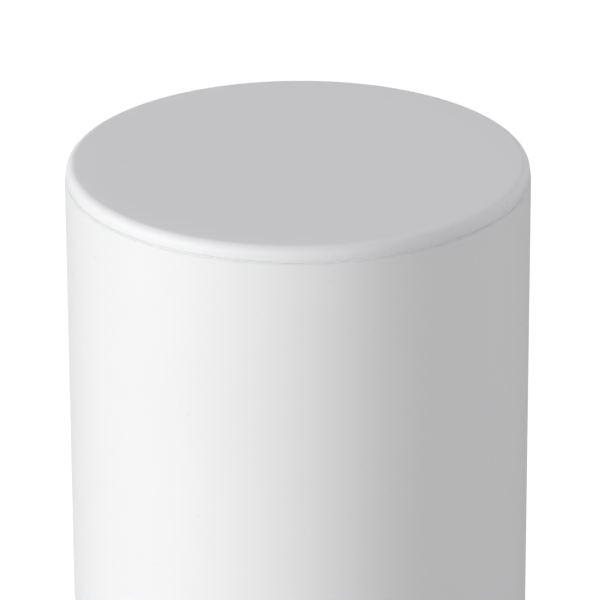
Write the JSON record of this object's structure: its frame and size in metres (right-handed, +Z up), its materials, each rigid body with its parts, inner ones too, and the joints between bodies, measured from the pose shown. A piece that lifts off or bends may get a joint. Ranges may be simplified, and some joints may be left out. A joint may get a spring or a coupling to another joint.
{
  "type": "bollard light",
  "caption": "Round white bollard light: opal head with a flat sealed cap, plain post with a rear service door, covered base plate, and gear and terminals inside.",
  "frame": {"origin": "centre of the underside of the base plate, on the ground", "axes": "+Z up along the post, +Y towards the service door, -Y the plain front"},
  "size_m": [0.227, 0.227, 1],
  "materials": {
    "opal_acrylic": "opal white, satin",
    "seal_clear": "translucent silicone",
    "powder_white": "white powder coat, fine satin",
    "seal_black": "matt black rubber",
    "stainless": "turned stainless steel",
    "galvanised_steel": "hot-dip galvanised",
    "column_aluminium": "extruded, clear anodised",
    "pad_grey": "soft grey",
    "board_white": "white solder resist",
    "chip_phosphor": "yellow phosphor",
    "nylon_white": "moulded nylon",
    "vent_nylon": "moulded dark grey nylon",
    "surge_blue": "moulded blue",
    "box_grey": "moulded light grey",
    "lid_clear": "clear polycarbonate",
    "terminal_beige": "moulded beige",
    "fuse_glass": "ceramic with plated ends",
    "tinned_copper": "tinned",
    "cable_black": "sheathed cable",
    "earth_green_yellow": "green with a yellow stripe"
  },
  "bodies": {
    "post": {"head_flange": "powder_white", "post_tube": "powder_white", "flange_seal": "seal_black", "head_seal": "seal_black", "lead_grommet": "seal_black", "box_seal": "seal_black", "gland_inserts": "seal_black", "flange_screws": "stainless", "board_screws": "stainless", "column_screws": "stainless", "small_screws": "stainless", "carrier_screws": "stainless", "driver_screws": "stainless", "clip_screw": "stainless", "lid_screws": "stainless", "door_nuts": "stainless", "earth_stud": "stainless", "earth_nuts": "stainless", "earth_washers": "stainless", "base_plate": "galvanised_steel", "door_frame": "galvanised_steel", "crossbars": "galvanised_steel", "gear_tray": "galvanised_steel", "din_rail": "galvanised_steel", "led_column": "column_aluminium", "column_top_plate": "column_aluminium", "led_driver": "column_aluminium", "thermal_pads": "pad_grey", "led_boards": "board_white", "hub_board": "board_white", "led_chips": "chip_phosphor", "lead_connector": "nylon_white", "driver_end_covers": "nylon_white", "vent_plug": "vent_nylon", "cable_clip": "vent_nylon", "gland_bodies": "vent_nylon", "gland_nuts": "vent_nylon", "gland_locknuts": "vent_nylon", "surge_protector": "surge_blue", "connection_box": "box_grey", "box_lid": "lid_clear", "box_terminals": "terminal_beige", "fuse_terminal": "terminal_beige", "fuse_link": "fuse_glass", "earth_lug": "tinned_copper", "riser_cable": "cable_black", "led_lead": "cable_black", "earth_lead": "earth_green_yellow"},
    "head": {"diffuser_tube": "opal_acrylic", "diffuser_cap": "opal_acrylic", "cap_seal": "seal_clear", "diffuser_collar": "powder_white", "head_grub_screws": "stainless"},
    "base_cover": {"base_cover": "powder_white", "cover_grub_screws": "stainless"},
    "door": {"door_panel": "powder_white", "door_seal": "seal_black", "door_screw_retainers": "nylon_white"},
    "door_screw_lower": {"door_screw_lower": "stainless"},
    "door_screw_upper": {"door_screw_upper": "stainless"}
  },
  "joints": [
    {"name": "head_lift", "type": "slide", "parent": "post", "child": "head", "axis": [0, 0, 1], "range_m": [0, 0.26]},
    {"name": "cover_lift", "type": "slide", "parent": "post", "child": "base_cover", "axis": [0, 0, 1], "range_m": [0, 0.09]},
    {"name": "door_pull", "type": "slide", "parent": "post", "child": "door", "axis": [0, 1, 0], "range_m": [0, 0.08]},
    {"name": "lower_screw_turn", "type": "hinge", "parent": "door", "child": "door_screw_lower", "pos_m": [0, 0.0796, 0.163], "axis": [0, 1, 0], "continuous": true},
    {"name": "upper_screw_turn", "type": "hinge", "parent": "door", "child": "door_screw_upper", "pos_m": [0, 0.0796, 0.357], "axis": [0, 1, 0], "continuous": true}
  ]
}
